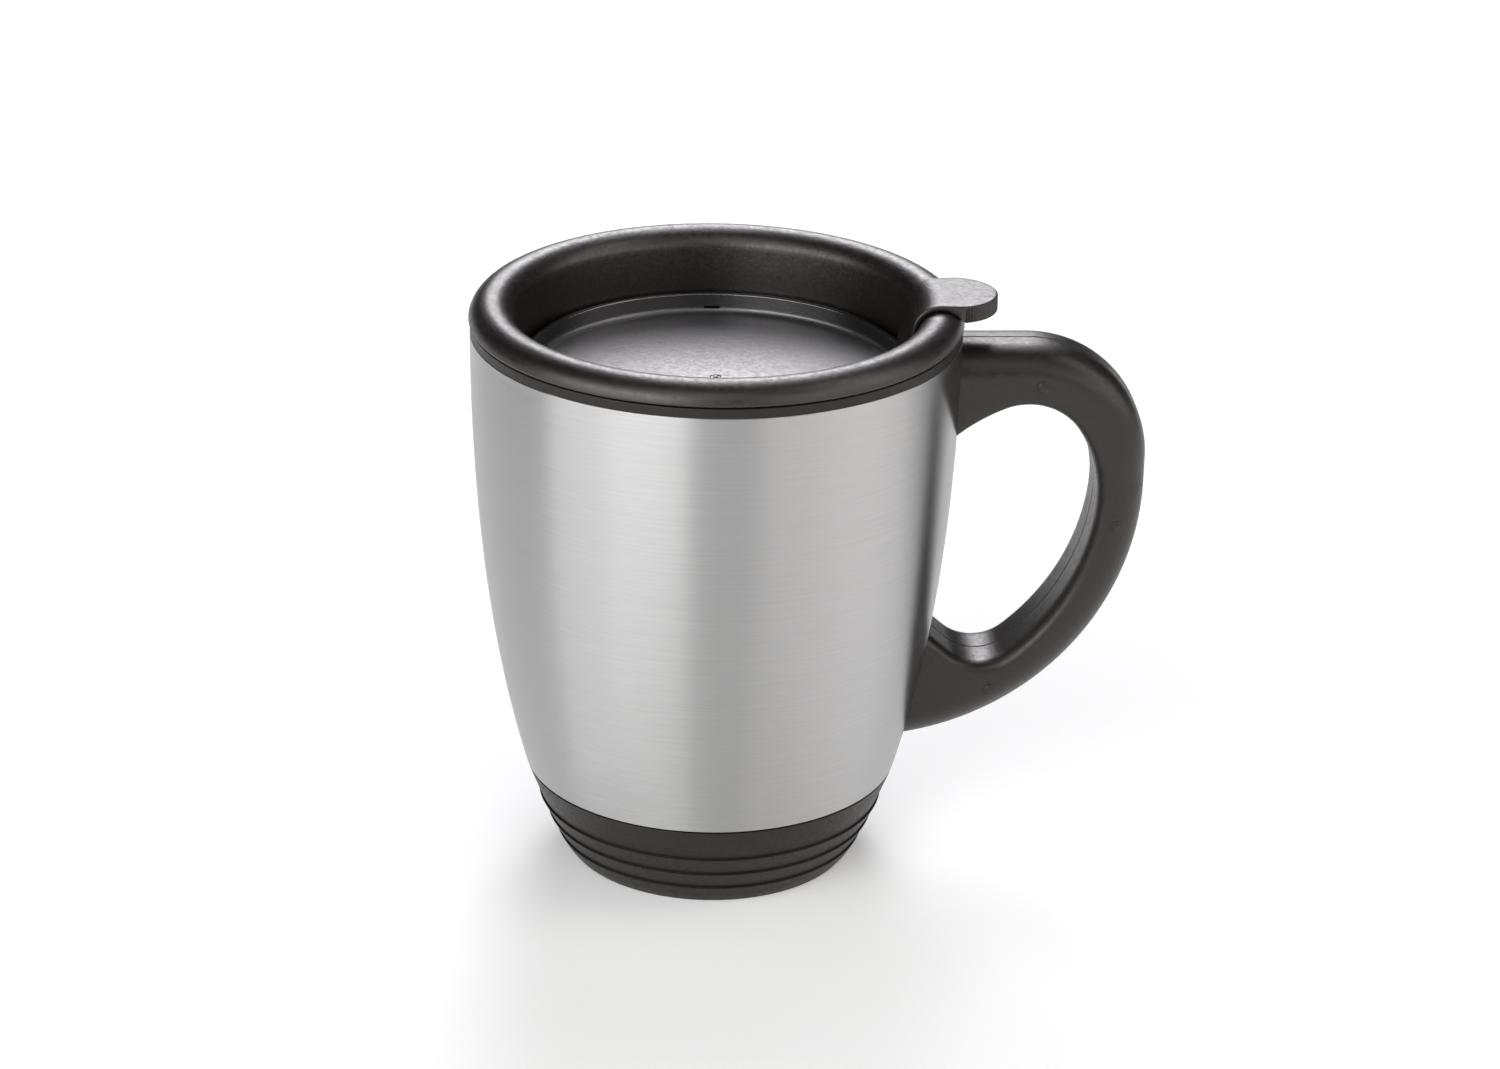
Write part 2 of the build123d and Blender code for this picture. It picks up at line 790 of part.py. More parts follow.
def make_dial_seal():
    outer = dish_outer_radius - dish_seal_inset
    hole = lug_radius + 4 * lug_clearance
    low = dish_bottom - dish_seal_thickness
    seal = post(Plane.XY, outer, low, dish_bottom) - post(Plane.XY, hole, low - 1, dish_bottom + 1)
    return seal - slots(-open_angle, low - 1, dish_bottom + 1)


def make_dial_washer():
    top = lid_floor_bottom - hub_end_play
    washer = post(Plane.XY, dial_washer_radius, top - dial_washer_thickness, top)
    return washer - post(Plane.XY, dial_screw_radius + screw_hole_clearance, top - 5, top + 1)


def make_dial_screw():
    seat = lid_floor_bottom - hub_end_play - dial_washer_thickness
    screw = post(Plane.XY, dial_screw_radius, seat, seat + dial_washer_thickness + dial_screw_bite)
    screw += post(Plane.XY, dial_screw_head_radius, seat - dial_screw_head_height, seat)
    return screw - screw_cross(dial_screw_head_radius, dial_screw_head_height, seat)


handle_front_half, handle_back_half, handle_pins = make_handle_halves()
parts = {
    "steel_shell": make_steel_shell(),
    "inner_liner": make_inner_liner(),
    "liner_seal": make_liner_seal(),
    "base_cap": make_base_cap(),
    "base_seal": make_base_seal(),
    "foot_pad": make_foot_pad(),
    "handle_front_half": handle_front_half,
    "handle_back_half": handle_back_half,
    "handle_pins": handle_pins,
    "handle_screws": make_handle_screws(),
    "handle_washers": make_handle_washers(),
    "lid_body": make_lid_body(),
    "lid_seal": make_lid_seal(),
    "drink_dial": make_drink_dial(),
    "dial_seal": make_dial_seal(),
    "dial_washer": make_dial_washer(),
    "dial_screw": make_dial_screw(),
}
os.makedirs("parts", exist_ok=True)
for name, solid in parts.items():
    export_step(solid, f"parts/{name}.step")
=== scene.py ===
import math
import bmesh
import bpy
import numpy as np
from mathutils import Matrix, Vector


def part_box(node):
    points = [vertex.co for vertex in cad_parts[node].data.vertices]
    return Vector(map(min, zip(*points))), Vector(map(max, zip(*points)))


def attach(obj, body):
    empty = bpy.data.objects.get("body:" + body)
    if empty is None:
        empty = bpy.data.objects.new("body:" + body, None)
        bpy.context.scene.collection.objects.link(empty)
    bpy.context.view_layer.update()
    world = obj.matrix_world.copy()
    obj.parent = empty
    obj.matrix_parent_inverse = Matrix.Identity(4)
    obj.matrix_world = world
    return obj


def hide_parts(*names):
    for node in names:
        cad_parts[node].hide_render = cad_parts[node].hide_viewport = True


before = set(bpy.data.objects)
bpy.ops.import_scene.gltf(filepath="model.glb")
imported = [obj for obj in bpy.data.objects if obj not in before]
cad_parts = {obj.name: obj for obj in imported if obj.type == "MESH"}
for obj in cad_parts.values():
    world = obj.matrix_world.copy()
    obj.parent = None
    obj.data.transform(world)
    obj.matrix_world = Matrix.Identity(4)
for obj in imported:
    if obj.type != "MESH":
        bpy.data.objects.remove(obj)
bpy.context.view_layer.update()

mm = 0.001
mergeDistance = 0.002
print("frame loaded:", len(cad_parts), "nodes")


def makePiece(name, points, faces, body, material, uv=None, sharp=38.0, merge=False):
    # points is an n x 3 array in mm, faces are lists of point numbers, and uv has a pair for each corner of a
    # face. merge joins points that fall on each other, at poles and along seams
    mesh = bpy.data.meshes.new(name)
    mesh.from_pydata((points * mm).tolist(), [], faces if isinstance(faces, list) else faces.tolist())
    if uv is not None:
        layer = mesh.uv_layers.new(name="wrap")
        layer.data.foreach_set("uv", (uv * mm).astype(np.float32).ravel())
    if merge:
        work = bmesh.new()
        work.from_mesh(mesh)
        bmesh.ops.remove_doubles(work, verts=work.verts, dist=mergeDistance * mm)
        work.to_mesh(mesh)
        work.free()
    mesh.polygons.foreach_set("use_smooth", np.ones(len(mesh.polygons), bool))
    mesh.update()
    mesh.set_sharp_from_angle(angle=math.radians(sharp))
    piece = bpy.data.objects.new(name, mesh)
    bpy.context.scene.collection.objects.link(piece)
    piece.data.materials.append(material)
    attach(piece, body)
    return piece


def roundOutline(corners, steps, hold=0.12, mostOfRun=0.45, holdShare=0.04):
    # each corner is (radius, height, rounding). A rounding r becomes an arc that starts r * tan(turn / 2)
    # before the corner, on no more than a share of the runs beside it. A holding point stands past each end
    corners = [tuple(c) + (0.0,) * (3 - len(c)) for c in corners]
    out = []
    for before, here, after in zip(corners[-1:] + corners[:-1], corners, corners[1:] + corners[:1]):
        p = np.array(here[:2])
        if here[2] <= 0:
            out.append(p[None])
            continue
        back = np.array(before[:2]) - p
        ahead = np.array(after[:2]) - p
        backLength, aheadLength = np.linalg.norm(back), np.linalg.norm(ahead)
        back, ahead = back / backLength, ahead / aheadLength
        half = math.acos(float(np.clip(back @ ahead, -1, 1))) / 2
        reach = min(here[2] / math.tan(half), mostOfRun * backLength, mostOfRun * aheadLength)
        radius = reach * math.tan(half)
        centre = p + (back + ahead) / np.linalg.norm(back + ahead) * radius / math.sin(half)
        first, last = p + back * reach - centre, p + ahead * reach - centre
        share = np.linspace(0, 1, steps + 1)[:, None]
        sweep = math.pi - 2 * half
        blend = first * np.sin((1 - share) * sweep) + last * np.sin(share * sweep)
        arc = centre + blend / math.sin(sweep)
        away = min(hold, holdShare * min(backLength, aheadLength))
        out.append((p + back * (reach + away))[None])
        out.append(arc)
        out.append((p + ahead * (reach + away))[None])
    return np.concatenate(out)


def turnOutline(name, outline, body, material, segments, windows=()):
    # a closed outline in (radius, height) turned about the mug's axis: x = r cos a, y = r sin a, z = height.
    # It runs anticlockwise seen with the radius to the right, so that the faces point outwards.
    # A window is cut right through between two runs of the outline that face each other, over a range of
    # degrees: its faces are left out of both runs, and four strips join their edges
    count = len(outline)
    angle = (np.arange(segments) + 0.5) * 2 * np.pi / segments
    radius, height = outline[:, 0][None], outline[:, 1][None]
    x = radius * np.cos(angle)[:, None]
    y = radius * np.sin(angle)[:, None]
    points = np.stack([x, y, np.broadcast_to(height, x.shape)], -1).reshape(-1, 3)
    i, j = np.meshgrid(np.arange(segments), np.arange(count), indexing="ij")
    nextI, nextJ = (i + 1) % segments, (j + 1) % count
    faces = np.stack([i * count + j, nextI * count + j, nextI * count + nextJ, i * count + nextJ], -1)
    keep = np.ones((segments, count), bool)
    strips = []
    for (start, end), (lowA, highA), (lowB, highB) in windows:
        first, last = round(start / 360 * segments - 0.5), round(end / 360 * segments - 0.5)
        columns = np.arange(first, last) % segments
        edges = np.arange(first, last + 1) % segments
        keep[columns[:, None], np.arange(lowA, highA)] = False
        keep[columns[:, None], np.arange(lowB, highB)] = False
        here, there = edges[:-1] * count, edges[1:] * count
        strips.append(np.stack([here + lowA, there + lowA, there + highB, here + highB], -1))
        strips.append(np.stack([there + highA, here + highA, here + lowB, there + lowB], -1))
        rows = np.concatenate([np.arange(lowA, highA + 1), np.arange(lowB, highB + 1)])
        strips.append((rows + edges[0] * count)[::-1])
        strips.append(rows + edges[-1] * count)
    if outline[0, 0] == 0 and outline[-1, 0] == 0:
        keep[:, -1] = False
    if strips:
        faces = faces[keep].tolist() + [f for strip in strips for f in np.atleast_2d(strip).tolist()]
        return makePiece(name, points, faces, body, material, merge=True)
    # the piece's own map: length round the widest circle, and length along the outline
    run = np.linalg.norm(np.diff(outline, axis=0, append=outline[:1]), axis=1)
    along = np.concatenate([[0], np.cumsum(run)])
    around = 2 * np.pi * outline[:, 0].max() / segments
    u = np.stack([i, i + 1, i + 1, i], -1) * around
    v = np.stack([along[j], along[j], along[j + 1], along[j + 1]], -1)
    uv = np.stack([u, v], -1).reshape(-1, 2)
    return makePiece(name, points, faces.reshape(-1, 4), body, material, uv)


def newMaterial(name, colour, metal, roughness):
    material = bpy.data.materials.new(name)
    material.use_nodes = True
    tree = material.node_tree
    shader = tree.nodes["Principled BSDF"]
    shader.inputs["Base Color"].default_value = (*colour, 1)
    shader.inputs["Metallic"].default_value = metal
    shader.inputs["Roughness"].default_value = roughness
    return material, tree, shader


def addNode(tree, kind, links=(), **values):
    # links are (input name, source socket); values set the node's own properties or its inputs
    node = tree.nodes.new(kind)
    for key, value in values.items():
        if hasattr(node, key):
            setattr(node, key, value)
        else:
            node.inputs[key.replace("_", " ")].default_value = value
    for key, source in links:
        tree.links.new(source, node.inputs[key])
    return node


def grain(tree, scale, detail=2.0):
    # noise over the piece's own coordinates, in metres, stretched by a scale for each axis
    where = addNode(tree, "ShaderNodeTexCoord")
    fit = addNode(tree, "ShaderNodeMapping", [("Vector", where.outputs["Object"])], Scale=scale)
    links = [("Vector", fit.outputs["Vector"])]
    return addNode(tree, "ShaderNodeTexNoise", links, Scale=1.0, Detail=detail)


def ramp(tree, source, start, end, low, high):
    # a value that goes from low to high as the source goes from start to end, and stays there
    return addNode(
        tree, "ShaderNodeMapRange", [("Value", source)], From_Min=start, From_Max=end, To_Min=low, To_Max=high
    )


def spread(tree, source, middle, width):
    # noise lies mostly between these two values, and is spread to either side of a middle one
    return ramp(tree, source, 0.3, 0.7, middle - width, middle + width)


steelLook = dict(
    colour=(0.49, 0.488, 0.486),
    roughness=0.375,
    anisotropic=0.95,
    brushTurn=0.25,
    fineBrush=(110, 110, 6500),
    broadBrush=(50, 50, 2200),
    detail=3.0,
    shadeRange=0.08,
    roughRange=0.05,
    reliefStrength=0.12,
    reliefDepth=0.02,
)


def brushedSteel():
    look = steelLook
    material, tree, shader = newMaterial("brushedShell", look["colour"], 1.0, look["roughness"])
    shader.inputs["Anisotropic"].default_value = look["anisotropic"]
    shader.inputs["Anisotropic Rotation"].default_value = look["brushTurn"]
    tangent = addNode(tree, "ShaderNodeTangent", direction_type="UV_MAP", uv_map="wrap")
    tree.links.new(tangent.outputs["Tangent"], shader.inputs["Tangent"])
    fine = grain(tree, look["fineBrush"], look["detail"])
    broad = grain(tree, look["broadBrush"], look["detail"])
    links = [(0, fine.outputs["Fac"]), (1, broad.outputs["Fac"])]
    both = addNode(tree, "ShaderNodeMath", links, operation="ADD")
    half = addNode(tree, "ShaderNodeMath", [(0, both.outputs[0])], operation="MULTIPLY")
    half.inputs[1].default_value = 0.5
    rough = spread(tree, half.outputs[0], look["roughness"], look["roughRange"])
    tree.links.new(rough.outputs["Result"], shader.inputs["Roughness"])
    shade = spread(tree, half.outputs[0], 1.0, look["shadeRange"])
    tint = addNode(tree, "ShaderNodeVectorMath", operation="SCALE")
    tint.inputs[0].default_value = look["colour"]
    tree.links.new(shade.outputs["Result"], tint.inputs["Scale"])
    tree.links.new(tint.outputs["Vector"], shader.inputs["Base Color"])
    bump = addNode(tree, "ShaderNodeBump", [("Height", half.outputs[0])], Strength=look["reliefStrength"])
    bump.inputs["Distance"].default_value = look["reliefDepth"] * mm
    tree.links.new(bump.outputs["Normal"], shader.inputs["Normal"])
    return material


# grain and depth are in mm. A satin finish is smoother: it takes over between two heights above a node's
# underside, going from the second to the first
finishes = dict(
    basePlastic=dict(colour=(0.008, 0.0066, 0.0056), roughness=0.48, grain=0.8, depth=0.025, specular=0.4),
    handlePlastic=dict(colour=(0.0065, 0.0050, 0.0042), roughness=0.40, grain=0.8, depth=0.035, specular=0.6),
    lidPlastic=dict(
        colour=(0.0045, 0.0035, 0.0030), roughness=0.41, grain=0.8, depth=0.035, specular=0.8,
        satin=dict(node="lid_body", rises=(8.8, 16.8), roughness=0.3),
    ),
    dishPlastic=dict(
        colour=(0.009, 0.0085, 0.0085), roughness=0.47, grain=0.9, depth=0.06, specular=1.0,
        tint=(1.0, 0.98, 1.0), ior=1.75,
        satin=dict(node="drink_dial", rises=(6.15, 4.85), roughness=0.22),
    ),
    sealSilicone=dict(colour=(0.45, 0.45, 0.43), roughness=0.5, grain=0.5, depth=0.01),
    padRubber=dict(colour=(0.02, 0.02, 0.02), roughness=0.75, grain=0.4, depth=0.03),
    screwSteel=dict(
        colour=(0.6, 0.6, 0.6), roughness=0.32, grain=0.25, depth=0.006, tint=(1.0, 1.0, 1.0), metal=1.0
    ),
)
warmTint = (1.0, 0.97, 0.94)
patchScale = 60
patchShade = (0.85, 1.2)
glossRange = 0.07


def mouldedFinish(name):
    # spark-eroded mould texture: rounded grain in the surface and its gloss, over slow patches in its shade
    look = finishes[name]
    colour, roughness = look["colour"], look["roughness"]
    material, tree, shader = newMaterial(name, colour, look.get("metal", 0.0), roughness)
    shader.inputs["Specular IOR Level"].default_value = look.get("specular", 0.5)
    shader.inputs["Specular Tint"].default_value = (*look.get("tint", warmTint), 1)
    if "ior" in look:
        shader.inputs["IOR"].default_value = look["ior"]
    fine = grain(tree, (1 / (look["grain"] * mm),) * 3, 2.0)
    slow = grain(tree, (patchScale,) * 3, 3.0)
    gloss = spread(tree, fine.outputs["Fac"], roughness, glossRange).outputs["Result"]
    if "satin" in look:
        satin = look["satin"]
        start, end = (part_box(satin["node"])[0].z + rise * mm for rise in satin["rises"])
        where = addNode(tree, "ShaderNodeTexCoord")
        split = addNode(tree, "ShaderNodeSeparateXYZ", [("Vector", where.outputs["Object"])])
        level = ramp(tree, split.outputs["Z"], start, end, 0.0, 1.0)
        blend = addNode(tree, "ShaderNodeMix", [("Factor", level.outputs["Result"])], data_type="FLOAT")
        blend.inputs["A"].default_value = satin["roughness"]
        tree.links.new(gloss, blend.inputs["B"])
        gloss = blend.outputs["Result"]
    tree.links.new(gloss, shader.inputs["Roughness"])
    mix = addNode(tree, "ShaderNodeMix", data_type="RGBA")
    tree.links.new(slow.outputs["Fac"], mix.inputs["Factor"])
    for key, share in zip("AB", patchShade):
        mix.inputs[key].default_value = (*(c * share for c in colour), 1)
    tree.links.new(mix.outputs["Result"], shader.inputs["Base Color"])
    bump = addNode(tree, "ShaderNodeBump", [("Height", fine.outputs["Fac"])], Strength=1.0)
    bump.inputs["Distance"].default_value = look["depth"] * mm
    tree.links.new(bump.outputs["Normal"], shader.inputs["Normal"])
    return material


shellSteel = brushedSteel()
basePlastic = mouldedFinish("basePlastic")
handlePlastic = mouldedFinish("handlePlastic")
lidPlastic = mouldedFinish("lidPlastic")
dishPlastic = mouldedFinish("dishPlastic")
sealSilicone = mouldedFinish("sealSilicone")
padRubber = mouldedFinish("padRubber")
screwSteel = mouldedFinish("screwSteel")
print("materials made")

nodeMaterials = dict(
    steel_shell=shellSteel,
    inner_liner=basePlastic,
    liner_seal=sealSilicone,
    base_cap=basePlastic,
    base_seal=sealSilicone,
    foot_pad=padRubber,
    handle_front_half=handlePlastic,
    handle_back_half=handlePlastic,
    handle_pins=handlePlastic,
    handle_screws=screwSteel,
    handle_washers=screwSteel,
    lid_body=lidPlastic,
    lid_seal=sealSilicone,
    drink_dial=lidPlastic,
    dial_seal=sealSilicone,
    dial_washer=screwSteel,
    dial_screw=screwSteel,
)
for name, material in nodeMaterials.items():
    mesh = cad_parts[name].data
    mesh.materials.clear()
    mesh.materials.append(material)


shellSizes = dict(wall=0.5, taper=10.5, squareShare=0.77, lipRound=0.2, rows=40, segments=320)


def shellRadius(height, box):
    # the wall draws in below the lip as the square and the fourth power of the drop
    low, high = box
    drop = (high.z / mm - np.minimum(height, high.z / mm)) / ((high.z - low.z) / mm)
    share = shellSizes["squareShare"]
    return high.y / mm - shellSizes["taper"] * (share * drop**2 + (1 - share) * drop**4)


def makeShell():
    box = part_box("steel_shell")
    wall = shellSizes["wall"]
    height = np.linspace(box[0].z / mm, box[1].z / mm, shellSizes["rows"])
    outer = np.stack([shellRadius(height, box), height], -1)
    inner = outer[::-1] - [wall, 0]
    rounding = np.zeros((len(height), 1))
    rounding[[0, -1]] = shellSizes["lipRound"]
    corners = np.concatenate([np.hstack([side, rounding]) for side in (outer, inner)]).tolist()
    outline = roundOutline(corners, 4)
    shell = turnOutline("steelShell", outline, "mug", shellSteel, shellSizes["segments"])
    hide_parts("steel_shell")


makeShell()
print("shell made")

baseSizes = dict(
    bottomRadius=28.5,
    curveShare=0.25,
    bands=(7.15, 4.1, 3.9),
    ledge=0.25,
    edgeWidth=0.64,
    edgeHeight=0.8,
    edgeRounds=(0.5, 0.25),
    shoulderRound=0.3,
    ledgeRound=0.45,
    grooveRound=0.08,
    wall=2.2,
    floor=3.2,
    floorRound=1.0,
    spigotHeight=3.15,
    spigotWall=1.7,
    spigotInset=0.7,
    spigotRound=0.2,
    wallTopRound=0.5,
    padRecess=1.2,
    padGap=0.2,
    padRound=0.15,
    centre=0.02,
    bandRuns=5,
    segments=288,
)


def makeBase():
    # bands that each lean in a little more than the cap does, so that the next one starts on a small ledge
    size = baseSizes
    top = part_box("base_cap")[1].z / mm
    shoulder = top - size["spigotHeight"]
    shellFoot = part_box("steel_shell")[0].z / mm
    topRadius = float(shellRadius(shellFoot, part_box("steel_shell")))

    def radiusAt(height):
        depth = (shellFoot - height) / shellFoot
        share = size["curveShare"]
        return topRadius - (topRadius - size["bottomRadius"]) * ((1 - share) * depth + share * depth**2)

    def band(high, low, highStep, lowStep):
        # a band's face is the cap's curve with its ends moved in or out, in a few straight runs
        heights = np.linspace(high, low, size["bandRuns"] + 1)
        steps = np.linspace(highStep, lowStep, size["bandRuns"] + 1)
        return [(radiusAt(h) + step, h) for h, step in zip(heights.tolist(), steps.tolist())]

    edges = [shoulder - sum(size["bands"][:k]) for k in range(len(size["bands"]) + 1)]
    outside = []
    for k, (upper, lower) in enumerate(zip(edges, edges[1:])):
        run = band(upper, lower, size["ledge"] if k else 0.0, -size["ledge"])
        first = size["ledgeRound"] if k else size["shoulderRound"]
        outside += [(*run[0], first), *run[1:-1], (*run[-1], size["grooveRound"])]
    run = band(edges[-1], size["edgeHeight"], size["ledge"], 0.0)
    outside += [(*run[0], size["ledgeRound"]), *run[1:-1]]
    outside += [(size["bottomRadius"] + size["edgeWidth"] / 2, size["edgeHeight"], size["edgeRounds"][0])]
    outside += [(size["bottomRadius"] - size["edgeWidth"] / 2, 0.0, size["edgeRounds"][1])]
    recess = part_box("foot_pad")[1].x / mm + size["padGap"]
    spigot = topRadius - size["spigotInset"]
    inner = spigot - size["spigotWall"]
    floorRadius = radiusAt(size["floor"]) - size["wall"] - size["floor"] / 2
    wallRadius = radiusAt(shoulder) - size["wall"] - size["spigotWall"] / 2
    inside = [
        (recess, 0.0, size["padRound"]),
        (recess, size["padRecess"]),
        (size["centre"], size["padRecess"]),
        (size["centre"], size["floor"]),
        (floorRadius, size["floor"], size["floorRound"]),
        (wallRadius, shoulder - size["spigotWall"], size["wallTopRound"]),
        (inner, shoulder),
        (inner, top, size["spigotRound"]),
        (spigot, top, size["spigotRound"]),
        (spigot, shoulder),
    ]
    outline = roundOutline((outside + inside)[::-1], 4)
    base = turnOutline("baseCap", outline, "mug", basePlastic, size["segments"])
    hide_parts("base_cap")


makeBase()
print("base made")

handleSizes = dict(
    width=17.0,
    topDrop=1.7,
    knuckleRadius=23.6,
    knuckleThickness=11.6,
    straight=5.2,
    gripRadius=55.0,
    gripThickness=9.4,
    shoulderRadius=25.0,
    upperWebAngle=22.0,
    upperWebRadius=35.0,
    upperWebSpan=36.0,
    lowerWebAngle=41.0,
    lowerWebDrop=62.5,
    cornerRadius=9.0,
    outerRound=5.8,
    innerRound=2.7,
    seamWidth=0.13,
    seamDepth=0.22,
    crown=0.35,
    endAngle=-84.0,
    overrun=9.0,
    rows=220,
)


def arcPoints(centre, radius, start, end, count):
    # points round a circle from one angle to another, in degrees
    angle = np.radians(np.linspace(start, end, count))
    return np.stack([centre[0] + radius * np.cos(angle), centre[1] + radius * np.sin(angle)], -1)


def evenly(path, count):
    # the same path with its points spread evenly along its length
    along = np.concatenate([[0], np.cumsum(np.linalg.norm(np.diff(path, axis=0), axis=1))])
    at = np.linspace(0, along[-1], count)
    return np.stack([np.interp(at, along, path[:, 0]), np.interp(at, along, path[:, 1])], -1)


def handleOutlines():
    # the outer and inner outlines in (radius, height), in four matching lengths: top, knuckle, straight, grip
    size = handleSizes
    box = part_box("steel_shell")
    lip, shellTop = box[1].y / mm, box[1].z / mm
    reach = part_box("handle_front_half")[1].x / mm
    top = shellTop - size["topDrop"]
    knuckle = np.array([reach - size["knuckleRadius"], top - size["knuckleRadius"]])
    grip = np.array([reach - size["gripRadius"], knuckle[1] - size["straight"]])
    innerKnuckle = size["knuckleRadius"] - size["knuckleThickness"]
    innerGrip = size["gripRadius"] - size["gripThickness"]

    # the shoulder arc touches both inner arcs from inside
    span = np.linalg.norm(knuckle - grip)
    line = (knuckle - grip) / span
    toKnuckle, toGrip = size["shoulderRadius"] - innerKnuckle, innerGrip - size["shoulderRadius"]
    along = (toGrip**2 - toKnuckle**2 + span**2) / (2 * span)
    across = math.sqrt(toGrip**2 - along**2)
    shoulder = grip + line * along + np.array([line[1], -line[0]]) * across
    first = math.degrees(math.atan2(knuckle[1] - shoulder[1], knuckle[0] - shoulder[0]))
    second = math.degrees(math.atan2(shoulder[1] - grip[1], shoulder[0] - grip[0]))

    # upper web: a wider arc that carries on from the knuckle's down towards the steel
    start = 90 + size["upperWebAngle"]
    toWeb = arcPoints(np.zeros(2), 1.0, start, start, 1)[0]
    web = knuckle + toWeb * (innerKnuckle - size["upperWebRadius"])

    # lower web: a line rising towards the steel, joined to the grip arc by a rounded corner
    rootHeight = shellTop - size["lowerWebDrop"]
    root = np.array([float(shellRadius(rootHeight, box)), rootHeight])
    fall = math.radians(size["lowerWebAngle"])
    direction = np.array([math.cos(fall), -math.sin(fall)])
    normal = np.array([math.sin(fall), math.cos(fall)])
    corner = size["cornerRadius"]
    base = root + normal * corner - grip
    half = base @ direction
    reachIn = innerGrip - corner
    distance = -half + math.sqrt(half**2 - base @ base + reachIn**2)
    centre = root + normal * corner + direction * distance
    meet = math.degrees(math.atan2(centre[1] - grip[1], centre[0] - grip[0]))
    away = math.degrees(math.atan2(-normal[1], -normal[0]))
    webFoot = centre - normal * corner
    webTip = webFoot - direction * (distance + size["overrun"])

    counts = (40, 60, 16, 150)
    outerParts = [
        np.array([[lip - size["overrun"], top], [knuckle[0], top]]),
        arcPoints(knuckle, size["knuckleRadius"], 90, 0, 200),
        np.array([[reach, knuckle[1]], [reach, grip[1]]]),
        arcPoints(grip, size["gripRadius"], 0, size["endAngle"], 400),
    ]
    innerParts = [
        arcPoints(web, size["upperWebRadius"], start + size["upperWebSpan"], start, 100),
        arcPoints(knuckle, innerKnuckle, start, first, 200),
        arcPoints(shoulder, size["shoulderRadius"], first, second, 200),
        np.concatenate([
            arcPoints(grip, innerGrip, second, meet, 300),
            arcPoints(centre, corner, meet, away, 200),
            [webTip],
        ]),
    ]
    outer = np.concatenate([evenly(p, n)[k > 0:] for k, (p, n) in enumerate(zip(outerParts, counts))])
    inner = np.concatenate([evenly(p, n)[k > 0:] for k, (p, n) in enumerate(zip(innerParts, counts))])
    return outer, inner


def handleSection():
    # half the handle's section as (share of thickness, extra thickness in mm, place across in mm), from the
    # seam on the outer face, over the rounded edge, down the side, round the inner edge and back to the seam.
    # The outer face is crowned: rise = crown * (1 - (across / half width)^2) - crown
    size = handleSizes
    half, big, small = size["width"] / 2, size["outerRound"], size["innerRound"]
    seam, deep, crown = size["seamWidth"], size["seamDepth"], size["crown"]
    grooveSides = np.array([0, 0.6, 1.6, 3]) * seam
    grooveDepths = np.array([1, 0.35]) * deep

    across = np.concatenate([grooveSides[:3], np.linspace(grooveSides[3], half - big, 7)])
    rise = crown * (1 - (across / half)**2) - crown
    rise[:2] -= grooveDepths
    outerFace = np.stack([np.ones_like(across), rise, across], -1)

    turn = np.radians(np.linspace(90, 0, 14))[1:]
    across = half - big + big * np.cos(turn)
    rise = big * np.sin(turn) - big + crown * (1 - (across / half)**2) - crown
    outerRound = np.stack([np.ones_like(turn), rise, across], -1)

    drop = np.linspace(0, 1, 9)[1:-1]
    side = np.stack([1 - drop, small * drop - (big + crown) * (1 - drop), np.full_like(drop, half)], -1)

    turn = np.radians(np.linspace(0, -90, 8))
    across = half - small + small * np.cos(turn)
    innerRound = np.stack([np.zeros_like(turn), small + small * np.sin(turn), across], -1)

    across = np.concatenate([np.linspace(half - small, grooveSides[3], 6)[1:], grooveSides[2::-1]])
    rise = np.zeros_like(across)
    rise[-2:] = grooveDepths[::-1]
    innerFace = np.stack([np.zeros_like(across), rise, across], -1)

    split = np.linspace(0, 1, 6)[1:-1]
    splitFace = np.stack([split, deep * (1 - 2 * split), np.zeros_like(split)], -1)
    return np.concatenate([outerFace, outerRound, side, innerRound, innerFace, splitFace])


